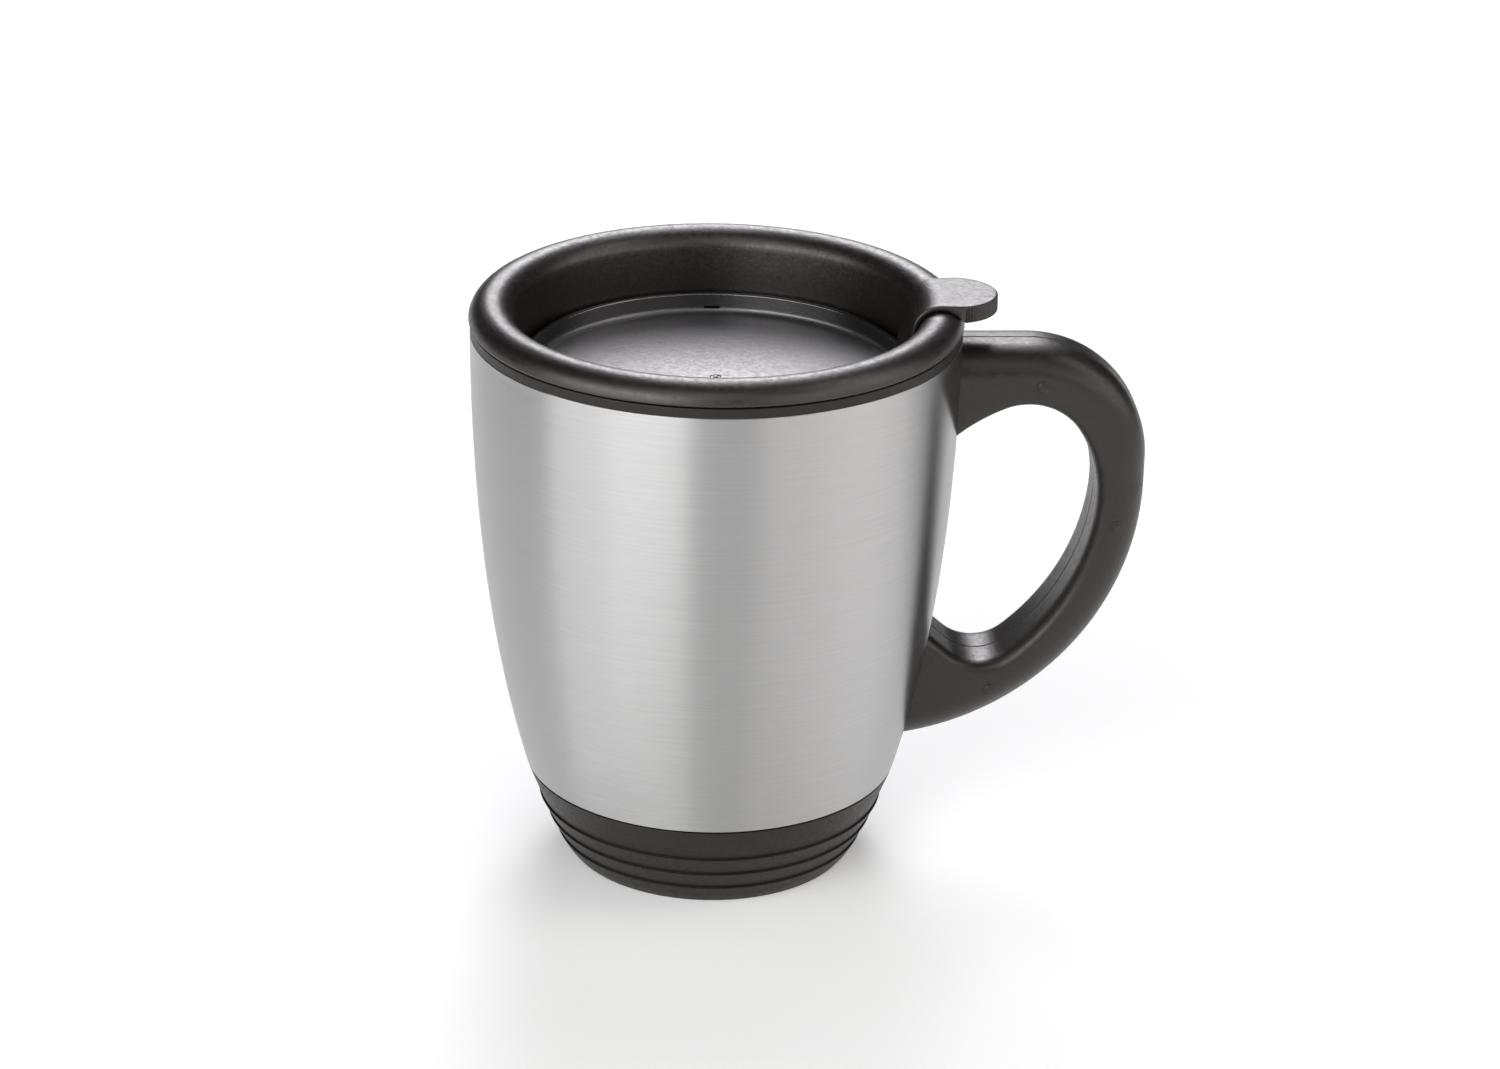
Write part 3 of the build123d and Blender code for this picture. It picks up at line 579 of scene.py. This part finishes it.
def makeHandleHalf(name, node, side):
    # the section is carried along the two outlines: each point is inner + (outer - inner) * share + the extra
    # thickness along the same line, moved across the handle. Every line along the handle is then cut where it
    # meets the steel
    outer, inner = handleOutlines()
    section = handleSection()
    gap = outer - inner
    thick = np.linalg.norm(gap, axis=1, keepdims=True)
    unit = (gap / thick)[:, None]
    share, extra, across = section[None, :, :1], section[None, :, 1:2], section[:, 2]
    plane = inner[:, None] + gap[:, None] * share + unit * extra
    y = np.broadcast_to(across * side, plane.shape[:2])
    points = np.stack([plane[..., 0], y, plane[..., 1]], -1)

    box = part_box("steel_shell")
    clear = np.hypot(points[..., 0], points[..., 1]) - shellRadius(points[..., 2], box)
    rows, columns = clear.shape
    middle = rows // 2
    outside = clear > 0
    firstRow = middle - np.argmin(outside[middle::-1], axis=0) + 1
    lastRow = middle + np.argmin(outside[middle:], axis=0) - 1
    column = np.arange(columns)
    before, after = clear[firstRow - 1, column], clear[firstRow, column]
    start = firstRow - after / (after - before)
    before, after = clear[lastRow, column], clear[lastRow + 1, column]
    end = lastRow + before / (before - after)
    count = handleSizes["rows"]
    at = start[None] + (end - start)[None] * np.linspace(0, 1, count)[:, None]
    whole = np.minimum(at.astype(int), rows - 2)
    part = (at - whole)[..., None]
    grid = points[whole, column[None]] * (1 - part) + points[whole + 1, column[None]] * part

    # the ends are closed with a point in the middle of each root
    vertices = np.concatenate([grid.reshape(-1, 3), grid[0].mean(0)[None], grid[-1].mean(0)[None]])
    i, j = np.meshgrid(np.arange(count - 1), np.arange(columns), indexing="ij")
    nextJ = (j + 1) % columns
    here, there = i * columns, (i + 1) * columns
    quads = np.stack([here + j, here + nextJ, there + nextJ, there + j], -1).reshape(-1, 4)
    around, last = (column + 1) % columns, (count - 1) * columns
    startFan = np.stack([around, column, np.full(columns, count * columns)], -1)
    endFan = np.stack([last + column, last + around, np.full(columns, count * columns + 1)], -1)
    if side > 0:
        quads, startFan, endFan = quads[:, ::-1], startFan[:, ::-1], endFan[:, ::-1]
    faces = quads.tolist() + startFan.tolist() + endFan.tolist()
    half = makePiece(name, vertices, faces, "mug", handlePlastic, sharp=50.0)
    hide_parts(node)


makeHandleHalf("handleFront", "handle_front_half", -1)
makeHandleHalf("handleBack", "handle_back_half", 1)
print("handle made")

pinSizes = dict(
    radius=1.3,
    inset=4.4,
    upperAngle=82.0,
    gripAngles=(-9.0, -59.0),
    proud=0.14,
    edge=0.12,
    depth=13.6,
    ringIn=0.34,
    ringWidth=0.1,
    ringDepth=0.07,
    segments=48,
)


def makePins():
    # round pins across the handle: a profile of (place across, radius) turned about each pin's own line. Its
    # face is let down to follow the handle's rounded side: fall = R - sqrt(R^2 - (distance past the flat)^2)
    size, handle = pinSizes, handleSizes
    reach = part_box("handle_front_half")[1].x / mm
    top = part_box("steel_shell")[1].z / mm - handle["topDrop"]
    knuckle = (reach - handle["knuckleRadius"], top - handle["knuckleRadius"])
    grip = (reach - handle["gripRadius"], knuckle[1] - handle["straight"])
    upper = handle["knuckleRadius"] - handle["knuckleThickness"] + size["inset"]
    lower = handle["gripRadius"] - handle["gripThickness"] + size["inset"]
    places = [(knuckle, upper, size["upperAngle"], handle["knuckleThickness"])]
    places += [(grip, lower, angle, handle["gripThickness"]) for angle in size["gripAngles"]]
    front = -handle["width"] / 2
    back = front + size["depth"]
    face, edge, radius = front - size["proud"], size["edge"], size["radius"]
    turn = np.radians(np.linspace(90, 0, 5))
    rounded = np.stack([face + edge - edge * np.sin(turn), radius - edge + edge * np.cos(turn)], -1)
    ring, wide = radius - size["ringIn"], size["ringWidth"]
    groove = [[face, 0.0], [face, ring - wide], [face + size["ringDepth"], ring], [face, ring + wide]]
    profile = np.concatenate([groove, rounded, [[back, radius], [back, 0.0]]])
    segments = size["segments"]
    angle = np.linspace(0, 2 * np.pi, segments, endpoint=False)[:, None]
    points, faces = [], []
    for k, (centre, radiusOut, turnAngle, thick) in enumerate(places):
        r, z = arcPoints(centre, radiusOut, turnAngle, turnAngle, 1)[0]
        x = r + profile[None, :, 1] * np.cos(angle)
        height = z + profile[None, :, 1] * np.sin(angle)
        fromInner = np.hypot(x - centre[0], height - centre[1]) - (radiusOut - size["inset"])
        big = handle["outerRound"]
        past = np.clip(fromInner - (thick - big), 0, big)
        fall = big - np.sqrt(big**2 - past**2)
        across = profile[None, :, 0] + fall * (profile[None, :, 0] < 0)
        points.append(np.stack([x, across, height], -1).reshape(-1, 3))
        i, j = np.meshgrid(np.arange(segments), np.arange(len(profile) - 1), indexing="ij")
        here, there = i * len(profile) + j, (i + 1) % segments * len(profile) + j
        start = k * segments * len(profile)
        faces.append(np.stack([here, here + 1, there + 1, there], -1).reshape(-1, 4) + start)
    points, faces = np.concatenate(points), np.concatenate(faces)
    pins = makePiece("handlePins", points, faces, "mug", handlePlastic, merge=True)
    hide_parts("handle_pins")


makePins()
print("pins made")

# heights are above the hub's lower end
dishSizes = dict(
    outer=37.33,
    inner=36.23,
    bottom=2.95,
    floorTop=4.55,
    wallTop=8.45,
    corner=2.0,
    edge=0.3,
    hub=5.0,
    bore=1.45,
    boreTop=3.8,
    slotInner=29.03,
    slotOuter=33.53,
    slots=((-129.5, -120.5), (-115.5, -106.5)),
    vent=(86.5, 91.5),
    ventHeights=(5.45, 6.55),
    gateRadius=1.1,
    gateSlope=0.15,
    gateDepth=0.15,
    gateRound=0.05,
    gateEdge=0.1,
    nubRadius=0.45,
    nubSlope=0.1,
    nubHeight=0.12,
    segments=360,
)


def makeDish():
    # the dish that turns in the lid: floor, low wall and hub, with drinking slots and a vent through the wall
    size = dishSizes
    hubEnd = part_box("drink_dial")[0].z / mm
    bottom, floorTop, wallTop = (hubEnd + size[key] for key in ("bottom", "floorTop", "wallTop"))
    boreTop = hubEnd + size["boreTop"]
    ventLow, ventHigh = (hubEnd + rise for rise in size["ventHeights"])
    edge, small = size["edge"], size["gateRound"]
    corners = [
        (0.0, boreTop),
        (size["bore"], boreTop),
        (size["bore"], hubEnd),
        (size["hub"], hubEnd, edge),
        (size["hub"], bottom),
        (size["slotInner"], bottom),
        (size["slotOuter"], bottom),
        (size["outer"], bottom, edge),
        (size["outer"], ventLow),
        (size["outer"], ventHigh),
        (size["outer"], wallTop, edge),
        (size["inner"], wallTop, edge),
        (size["inner"], floorTop, size["corner"]),
        (size["slotOuter"], floorTop),
        (size["slotInner"], floorTop),
        (size["gateRadius"], floorTop, size["gateEdge"]),
        (size["gateRadius"] - size["gateSlope"], floorTop - size["gateDepth"], small),
        (size["nubRadius"], floorTop - size["gateDepth"], small),
        (size["nubRadius"] - size["nubSlope"], floorTop + size["nubHeight"], small),
        (0.0, floorTop + size["nubHeight"]),
    ]
    outline = roundOutline(corners, 8)

    def row(radius, height):
        # the outline's point nearest to a place
        return int(np.argmin(np.hypot(outline[:, 0] - radius, outline[:, 1] - height)))

    slotBelow = (row(size["slotInner"], bottom), row(size["slotOuter"], bottom))
    slotAbove = (row(size["slotOuter"], floorTop), row(size["slotInner"], floorTop))
    corner = size["corner"]
    cornerReach = size["inner"] - corner + math.sqrt(corner**2 - (corner - ventLow + floorTop)**2)
    ventOutside = (row(size["outer"], ventLow), row(size["outer"], ventHigh))
    ventInside = (row(size["inner"], ventHigh), row(cornerReach, ventLow))
    windows = [(slot, slotBelow, slotAbove) for slot in size["slots"]]
    windows += [(size["vent"], ventOutside, ventInside)]
    dish = turnOutline("dialDish", outline, "dial", dishPlastic, size["segments"], windows)
    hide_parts("drink_dial")


makeDish()
print("dish made")

# the arm bends round the rim's half-round section, whose centre is at the height of the liner's lip
armSizes = dict(
    rimCentre=43.45,
    overReach=5.5,
    overRise=5.3,
    underReach=4.5,
    underRise=4.17,
    footRise=6.55,
    wallDraft=(0.02, 0.3),
    tabThickness=2.9,
    tabDroop=0.5,
    tabCentre=45.5,
    tabRadius=8.7,
    joinAngle=78.2,
    joinRadius=47.28,
    widths=((36.0, 7.9), (42.2, 8.1), (47.28, 8.5)),
    edge=0.42,
    edgeMost=0.42,
    ribPitch=4.0,
    ribDepth=0.24,
    ribRows=8,
    wallRows=9,
    bendRows=26,
    flatRows=22,
    acrossRows=9,
    edgeRows=6,
)


def makeArm():
    # the arm and thumb tab, half at a time. Rows run from the dish's wall over the rim and then fan round the
    # tab. On each row a rounded slab's section goes from the middle of the top, round the edge, to the middle
    # below. The bend is (centre + reach * cos a, lip + rise * sin a), and the ribs are a cosine wave
    size = armSizes
    rim, lip = size["rimCentre"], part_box("inner_liner")[1].z / mm
    hubEnd, tabTop = (corner.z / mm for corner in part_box("drink_dial"))
    tabBottom = tabTop - size["tabThickness"]
    foot, wallTop = hubEnd + size["footRise"], hubEnd + dishSizes["wallTop"]
    turn = np.radians(np.linspace(180, 90, size["bendRows"]))
    rise = np.linspace(0, 1, size["wallRows"])[:, None]
    flat = np.linspace(rim, size["joinRadius"], size["flatRows"])[1:]

    def profile(reach, height, radius, draft, flatHeights):
        # up the dish's wall, on up to the bend, round it and out along the flat
        bend = np.stack([rim + reach * np.cos(turn), lip + height * np.sin(turn)], -1)
        start, knee = np.array([[radius, foot]]), np.array([[radius + draft, wallTop]])
        up = start * (1 - rise) + knee * rise
        on = knee * (1 - rise) + bend[0] * rise
        return np.concatenate([up[:-1], on[:-1], bend, np.stack([flat, flatHeights], -1)])

    drop = 1 - np.clip((flat - rim) / size["underReach"], 0, 1)**2
    underFlat = np.maximum(lip + size["underRise"] * np.sqrt(drop), tabBottom)
    overDraft, underDraft = size["wallDraft"]
    inner, outer = dishSizes["inner"], dishSizes["outer"]
    over = profile(size["overReach"], size["overRise"], inner, overDraft, np.full_like(flat, tabTop))
    under = profile(size["underReach"], size["underRise"], outer, underDraft, underFlat)

    # shares across the width and up the thickness, with the corner rounded
    acrossCount, edgeCount = size["acrossRows"] - 1, size["edgeRows"]
    half = np.radians(np.linspace(90, 0, edgeCount))
    flatShare = np.linspace(0, 1, acrossCount + 1)[:-1]
    across = np.concatenate([flatShare, np.ones(2 * edgeCount), np.linspace(1, 0, acrossCount + 1)[1:]])
    pull = 1 - np.cos(np.concatenate([half, half[::-1]]))
    pull = np.concatenate([np.ones(acrossCount), pull, np.ones(acrossCount)])
    fall = np.concatenate([np.zeros(acrossCount), 1 - np.sin(half), np.zeros(edgeCount + acrossCount)])
    lift = np.concatenate([np.zeros(acrossCount + edgeCount), 1 - np.sin(half[::-1]), np.zeros(acrossCount)])
    upper = np.arange(len(across)) < acrossCount + edgeCount

    # the arm's rows, which keep their distance from the axis across its width
    thick = np.linalg.norm(over - under, axis=1)[:, None]
    edge = np.minimum(size["edge"], size["edgeMost"] * thick)
    widths = np.array(size["widths"])
    width = np.interp((over[:, 0] + under[:, 0]) / 2, widths[:, 0], widths[:, 1])[:, None]
    y = (width - edge) * across + edge * (1 - pull) * (across == 1)
    share = np.where(upper, 1 - edge / thick * fall, edge / thick * lift)
    radius = under[:, :1] + (over[:, :1] - under[:, :1]) * share
    height = under[:, 1:] + (over[:, 1:] - under[:, 1:]) * share
    armRows = np.stack([np.sqrt(radius**2 - y**2), y, height], -1)

    # the tab's rows fan out from one point in the middle of the arm's end, and its edge is ribbed
    steps = round(size["joinAngle"] / size["ribPitch"]) * size["ribRows"]
    angle = np.radians(np.linspace(size["joinAngle"], 0, steps + 1))[1:, None]
    wave = 0.5 - 0.5 * np.cos(2 * np.pi * np.degrees(angle) / size["ribPitch"])
    edge = size["edge"]
    wallShare = (1 - pull) * (across == 1)
    reach = size["tabRadius"] - edge + edge * wallShare - size["ribDepth"] * wave * wallShare**2
    reach = np.where(across == 1, reach, size["tabRadius"] - edge)
    edgeX = size["tabCentre"] + reach * np.cos(angle)
    edgeY = reach * np.sin(angle)
    tabX = size["joinRadius"] + (edgeX - size["joinRadius"]) * across
    tabY = edgeY * across
    tabZ = np.where(upper, tabTop - edge * fall, tabBottom - size["tabDroop"] * across + edge * lift)
    tabRows = np.stack([tabX, tabY, np.broadcast_to(tabZ, tabX.shape)], -1)

    grid = np.concatenate([armRows, tabRows])
    rows, columns = grid.shape[:2]
    points = np.concatenate([grid.reshape(-1, 3), (grid * [1, -1, 1]).reshape(-1, 3)])
    i, j = np.meshgrid(np.arange(rows - 1), np.arange(columns - 1), indexing="ij")
    here = i * columns + j
    quads = np.stack([here, here + columns, here + columns + 1, here + 1], -1).reshape(-1, 4)
    mirrored = quads[:, ::-1] + rows * columns
    ring = np.concatenate([np.arange(columns), (rows * columns + np.arange(columns))[::-1]])
    faces = quads.tolist() + mirrored.tolist() + [ring.tolist()]
    arm = makePiece("thumbTab", points, faces, "dial", lidPlastic, merge=True)
    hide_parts("drink_dial")


makeArm()
print("arm made")


floorLook = dict(
    size=6.0,
    shade=0.9,
    roughness=0.9,
    specular=0.1,
    nearGlow=0.19,
    farGlow=1.0,
    glowFrom=0.9,
    glowTo=2.4,
)


def makeFloor():
    # a flat square that glows a little beside the mug and fully far away, as a lit sweep does
    look = floorLook
    mesh = bpy.data.meshes.new("floor")
    corner = look["size"] / 2
    corners = [(-corner, -corner, 0), (corner, -corner, 0), (corner, corner, 0), (-corner, corner, 0)]
    mesh.from_pydata(corners, [], [(0, 1, 2, 3)])
    floor = bpy.data.objects.new("floor", mesh)
    bpy.context.scene.collection.objects.link(floor)
    material, tree, shader = newMaterial("paleFloor", (look["shade"],) * 3, 0.0, look["roughness"])
    shader.inputs["Specular IOR Level"].default_value = look["specular"]
    shader.inputs["Emission Color"].default_value = (1, 1, 1, 1)
    where = addNode(tree, "ShaderNodeTexCoord")
    distance = addNode(tree, "ShaderNodeVectorMath", [(0, where.outputs["Object"])], operation="LENGTH")
    glow = ramp(
        tree, distance.outputs["Value"], look["glowFrom"], look["glowTo"], look["nearGlow"], look["farGlow"]
    )
    tree.links.new(glow.outputs["Result"], shader.inputs["Emission Strength"])
    floor.data.materials.append(material)


viewpoint = dict(turn=-2.6, distance=0.7475, height=0.3868, pan=-0.553, tilt=23.2, roll=1.078, lens=99.15)


def makeCamera():
    # the camera stands in front, a little to the left, and looks down at the mug
    v = viewpoint
    data = bpy.data.cameras.new("camera")
    data.lens = v["lens"]
    data.sensor_width = 36.0
    data.sensor_fit = "HORIZONTAL"
    camera = bpy.data.objects.new("camera", data)
    bpy.context.scene.collection.objects.link(camera)
    turn = Matrix.Rotation(math.radians(v["turn"]), 4, "Z")
    place = Matrix.Translation((0, -v["distance"], v["height"]))
    pan = Matrix.Rotation(math.radians(v["pan"]), 4, "Z")
    tilt = Matrix.Rotation(math.radians(90 - v["tilt"]), 4, "X")
    roll = Matrix.Rotation(math.radians(v["roll"]), 4, "Z")
    camera.matrix_world = turn @ place @ pan @ tilt @ roll
    bpy.context.scene.camera = camera


# azimuths are counted from the camera's side of the mug and grow to the right; brightness is radiance
lights = dict(
    keyLeft=dict(azimuth=(-80, -46), elevation=(4, 34), brightness=3.15, tint=(1.0, 1.0, 1.0)),
    keyFront=dict(azimuth=(-48, -11), elevation=(6, 34), brightness=4.55, tint=(1.0, 1.0, 1.0)),
    keyHigh=dict(azimuth=(-48, 20), elevation=(36, 62), brightness=1.3, tint=(1.0, 1.0, 1.0)),
    fillFront=dict(azimuth=(20, 60), elevation=(6, 34), brightness=1.7, tint=(1.0, 0.98, 0.96)),
    fillRight=dict(azimuth=(60, 100), elevation=(6, 34), brightness=1.95, tint=(1.0, 0.98, 0.96)),
    fillHigh=dict(azimuth=(60, 100), elevation=(36, 62), brightness=2.0, tint=(1.0, 0.98, 0.96)),
    backLow=dict(azimuth=(168, 193), elevation=(22, 36), brightness=10.5, tint=(0.97, 0.96, 1.0)),
    backHigh=dict(azimuth=(166, 193), elevation=(36, 54), brightness=9.0, tint=(0.97, 0.96, 1.0)),
    backTop=dict(azimuth=(145, 195), elevation=(54, 76), brightness=3.2, tint=(0.97, 0.96, 1.0)),
)
lightDistance = 1.4
aimHeight = 0.06
worldStrength = 0.002


def makeLights():
    # each soft box is a flat panel facing the mug, as wide and tall as its two ranges of angles
    for name, light in lights.items():
        (left, right), (low, high) = light["azimuth"], light["elevation"]
        elevation = math.radians((low + high) / 2)
        halfTurn, halfLift = math.radians((right - left) / 2), math.radians((high - low) / 2)
        width = 2 * lightDistance * math.tan(halfTurn) * math.cos(elevation)
        height = 2 * lightDistance * math.tan(halfLift)
        data = bpy.data.lights.new(name, "AREA")
        data.shape = "RECTANGLE"
        data.size, data.size_y = width, height
        data.energy = light["brightness"] * width * height * math.pi
        data.color = light["tint"]
        lamp = bpy.data.objects.new(name, data)
        bpy.context.scene.collection.objects.link(lamp)
        turn = Matrix.Rotation(math.radians(viewpoint["turn"] + (left + right) / 2), 4, "Z")
        lift = Matrix.Rotation(-elevation, 4, "X")
        back = Matrix.Translation((0, -lightDistance, 0)) @ Matrix.Rotation(math.radians(90), 4, "X")
        lamp.matrix_world = Matrix.Translation((0, 0, aimHeight)) @ turn @ lift @ back
    world = bpy.data.worlds.new("studio")
    world.use_nodes = True
    sky = world.node_tree.nodes["Background"]
    sky.inputs["Color"].default_value = (1, 1, 1, 1)
    sky.inputs["Strength"].default_value = worldStrength
    bpy.context.scene.world = world
    bpy.context.scene.view_settings.view_transform = "Standard"


makeFloor()
makeCamera()
makeLights()
print("studio made")
